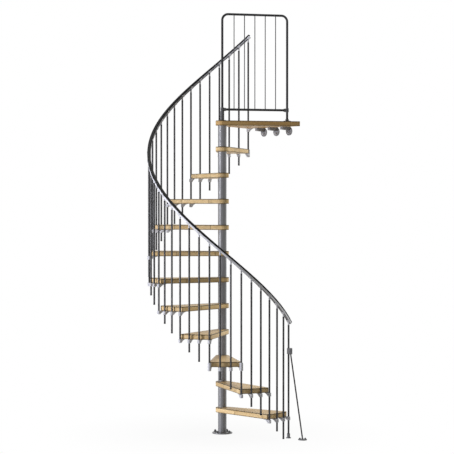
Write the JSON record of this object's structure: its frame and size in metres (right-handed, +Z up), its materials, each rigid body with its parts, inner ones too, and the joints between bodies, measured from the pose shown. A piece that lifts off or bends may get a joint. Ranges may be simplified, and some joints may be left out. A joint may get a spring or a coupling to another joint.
{
  "type": "spiral staircase",
  "caption": "Spiral staircase with a steel centre column, wedge-shaped wooden treads, upright balusters under a helical handrail, and a wooden top landing with a guard rail.",
  "frame": {"origin": "floor level on the axis of the centre column, under the base flange", "axes": "+Z up along the column, +X to the right and +Y away, as seen from the side with the landing's guard rail"},
  "size_m": [1.3589, 1.2969, 3.628],
  "materials": {
    "beech": "clear lacquered solid beech",
    "column_grey": "satin powder coat",
    "baluster_grey": "satin powder coat",
    "rail_black": "satin moulded cap",
    "rail_metal": "satin aluminium band",
    "cast_bracket": "fine cast, grey coat",
    "guard_dark": "satin powder coat",
    "fixing_grey": "satin powder coat",
    "pole_steel": "drawn tube"
  },
  "bodies": {
    "root": {"balusters_1": "baluster_grey", "balusters_2": "baluster_grey", "balusters_3": "baluster_grey", "balusters_4": "baluster_grey", "base_flange": "column_grey", "brace_clamp": "cast_bracket", "brace_foot": "fixing_grey", "brace_rod": "baluster_grey", "brackets_01": "cast_bracket", "brackets_02": "cast_bracket", "brackets_03": "cast_bracket", "brackets_04": "cast_bracket", "brackets_05": "cast_bracket", "brackets_06": "cast_bracket", "brackets_07": "cast_bracket", "brackets_08": "cast_bracket", "brackets_09": "cast_bracket", "brackets_10": "cast_bracket", "brackets_11": "cast_bracket", "center_pole": "pole_steel", "column_sleeves": "column_grey", "first_baluster": "baluster_grey", "first_baluster_foot": "cast_bracket", "handrail": "rail_black", "landing": "beech", "landing_bracket": "cast_bracket", "landing_fixings": "fixing_grey", "landing_lower_rail": "guard_dark", "landing_post_fittings": "guard_dark", "landing_rail_frame": "guard_dark", "landing_rail_tees": "cast_bracket", "landing_rods": "guard_dark", "rail_band": "rail_metal", "rail_saddles": "cast_bracket", "tread_01": "beech", "tread_02": "beech", "tread_03": "beech", "tread_04": "beech", "tread_05": "beech", "tread_06": "beech", "tread_07": "beech", "tread_08": "beech", "tread_09": "beech", "tread_10": "beech", "tread_11": "beech"}
  },
  "joints": []
}
